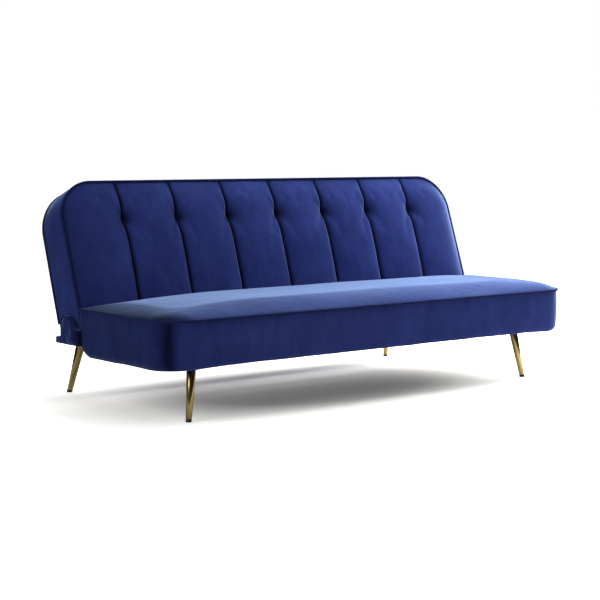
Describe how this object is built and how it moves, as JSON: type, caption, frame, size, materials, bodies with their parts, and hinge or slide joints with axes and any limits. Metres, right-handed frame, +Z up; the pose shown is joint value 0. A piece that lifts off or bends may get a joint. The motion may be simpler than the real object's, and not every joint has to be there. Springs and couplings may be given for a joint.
{
  "type": "futon sofa bed",
  "caption": "Click-clack sofa bed: upholstered bench seat on four splayed metal legs, with a channelled, buttoned backrest that reclines flat on ratchet hinges.",
  "frame": {"origin": "on the floor, under the middle of the bounding box", "axes": "+X along the seat to the right seen from the front, +Y to the rear, +Z up"},
  "size_m": [1.824, 0.8542, 0.7341],
  "materials": {
    "velvet": "cut-pile velvet",
    "welting": "velvet-covered cord",
    "timber": "sawn softwood",
    "hardboard": "pressed board",
    "brass": "polished plated tube",
    "steel": "zinc-plated",
    "spring_steel": "drawn wire",
    "black_plastic": "moulded",
    "foam": "upholstery foam",
    "non_woven": "black non-woven cloth"
  },
  "bodies": {
    "seat_base": {"seat_cover": "velvet", "seat_welt": "welting", "seat_foam": "foam", "seat_dust_cover": "non_woven", "seat_spring_1": "spring_steel", "seat_spring_2": "spring_steel", "seat_spring_3": "spring_steel", "seat_spring_4": "spring_steel", "seat_front_rail": "timber", "seat_rear_rail": "timber", "seat_centre_rail": "timber", "seat_side_rail_left": "timber", "seat_side_rail_right": "timber", "chassis_arm_left": "timber", "chassis_arm_right": "timber", "rear_rest_rail": "velvet", "leg_front_left": "brass", "leg_front_right": "brass", "foot_cap_front_left": "black_plastic", "foot_cap_front_right": "black_plastic", "leg_plate_front_left": "steel", "leg_plate_front_right": "steel", "leg_rear_left": "brass", "leg_rear_right": "brass", "foot_cap_rear_left": "black_plastic", "foot_cap_rear_right": "black_plastic", "leg_plate_rear_left": "steel", "leg_plate_rear_right": "steel", "hinge_plate_left": "steel", "hinge_plate_right": "steel", "pawl_spring_left": "spring_steel", "pawl_spring_right": "spring_steel", "hinge_cover_left": "velvet", "hinge_cover_right": "velvet"},
    "backrest": {"back_cover": "velvet", "back_welt_front": "welting", "back_welt_rear": "welting", "back_foam": "foam", "back_lining": "velvet", "back_bottom_rail": "timber", "back_top_rail": "timber", "back_stile_left": "timber", "back_stile_right": "timber", "back_centre_upright": "timber", "back_board": "hardboard", "button_1": "velvet", "button_2": "velvet", "button_3": "velvet", "button_4": "velvet", "button_5": "velvet", "button_6": "velvet", "button_7": "velvet", "hinge_leaf_left": "steel", "hinge_leaf_right": "steel", "hinge_pin_left": "steel", "hinge_pin_right": "steel", "ratchet_left": "steel", "ratchet_right": "steel"},
    "pawl_left": {"pawl_left": "steel"},
    "pawl_right": {"pawl_right": "steel"}
  },
  "joints": [
    {"name": "back_recline", "type": "hinge", "parent": "seat_base", "child": "backrest", "pos_m": [0, 0.1494, 0.274], "axis": [-1, 0, 0], "range_deg": [-8, 70]},
    {"name": "pawl_left_pivot", "type": "hinge", "parent": "seat_base", "child": "pawl_left", "pos_m": [-0.888, 0.1314, 0.249], "axis": [1, 0, 0], "range_deg": [-10, 6], "stiffness_Nm_per_rad": 0.05},
    {"name": "pawl_right_pivot", "type": "hinge", "parent": "seat_base", "child": "pawl_right", "pos_m": [0.888, 0.1314, 0.249], "axis": [1, 0, 0], "range_deg": [-10, 6], "stiffness_Nm_per_rad": 0.05}
  ]
}
